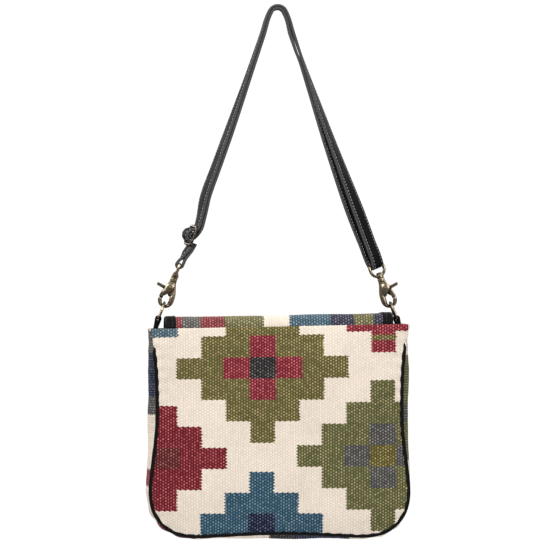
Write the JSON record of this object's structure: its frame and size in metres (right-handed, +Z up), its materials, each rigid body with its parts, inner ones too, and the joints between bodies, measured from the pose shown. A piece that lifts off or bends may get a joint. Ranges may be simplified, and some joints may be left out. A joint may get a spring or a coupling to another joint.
{
  "type": "shoulder bag",
  "caption": "Soft woven shoulder bag with a bound flap, piped gusset, leather tabs with rings, and a doubled leather strap on swivel clasps.",
  "frame": {"origin": "under the crest of the strap, on the line where the bag hangs", "axes": "+X across the bag, to the right as seen from behind; +Y from the back panel to the flap; +Z up"},
  "size_m": [0.2754, 0.0878, 0.5606],
  "materials": {
    "kilim": "flat-woven wool with stepped diamonds",
    "lining": "plain woven cotton",
    "leather": "smooth dyed black with a soft shine",
    "brass": "antique plate, darker in the recesses",
    "snap": "polished plate",
    "spring": "bare spring steel"
  },
  "bodies": {
    "strap": {"strap": "leather", "strap_slider": "brass", "swivel_eye_left": "brass", "swivel_eye_right": "brass"},
    "bag": {"back_panel": "kilim", "front_panel": "kilim", "gusset": "kilim", "back_piping": "leather", "front_piping": "leather", "lining": "lining", "flap": "kilim", "flap_lining": "lining", "flap_binding": "leather", "snap_socket": "snap", "snap_stud": "snap", "tab_left": "leather", "tab_right": "leather"},
    "ring_left": {"d_ring_left": "brass"},
    "ring_right": {"d_ring_right": "brass"},
    "clasp_left": {"clasp_hook_left": "brass", "gate_pin_left": "brass", "gate_spring_left": "spring"},
    "clasp_right": {"clasp_hook_right": "brass", "gate_pin_right": "brass", "gate_spring_right": "spring"},
    "gate_left": {"gate_left": "brass"},
    "gate_right": {"gate_right": "brass"}
  },
  "joints": [
    {"name": "bag_swing", "type": "hinge", "parent": "strap", "child": "bag", "pos_m": [0, 0, -0.31598], "axis": [1, 0, 0], "range_deg": [-25, 25]},
    {"name": "ring_turn_left", "type": "hinge", "parent": "bag", "child": "ring_left", "pos_m": [-0.12542, 0, -0.32366], "axis": [0, 1, 0], "range_deg": [-1, 1]},
    {"name": "ring_turn_right", "type": "hinge", "parent": "bag", "child": "ring_right", "pos_m": [0.12542, 0, -0.32366], "axis": [0, 1, 0], "range_deg": [-1, 1]},
    {"name": "clasp_swivel_left", "type": "hinge", "parent": "strap", "child": "clasp_left", "pos_m": [-0.11758, 0, -0.30375], "axis": [0.3666, 0, 0.9304], "range_deg": [-8, 8]},
    {"name": "clasp_swivel_right", "type": "hinge", "parent": "strap", "child": "clasp_right", "pos_m": [0.11758, 0, -0.30375], "axis": [0.3666, 0, -0.9304], "range_deg": [-8, 8]},
    {"name": "gate_open_left", "type": "hinge", "parent": "clasp_left", "child": "gate_left", "pos_m": [-0.11304, 0, -0.29114], "axis": [0, -1, 0], "range_deg": [0, 28], "stiffness_Nm_per_rad": 0.004, "springref_deg": -5.73, "deforming": ["gate_spring_left"]},
    {"name": "gate_open_right", "type": "hinge", "parent": "clasp_right", "child": "gate_right", "pos_m": [0.11304, 0, -0.29114], "axis": [0, 1, 0], "range_deg": [0, 28], "stiffness_Nm_per_rad": 0.004, "springref_deg": -5.73, "deforming": ["gate_spring_right"]}
  ]
}
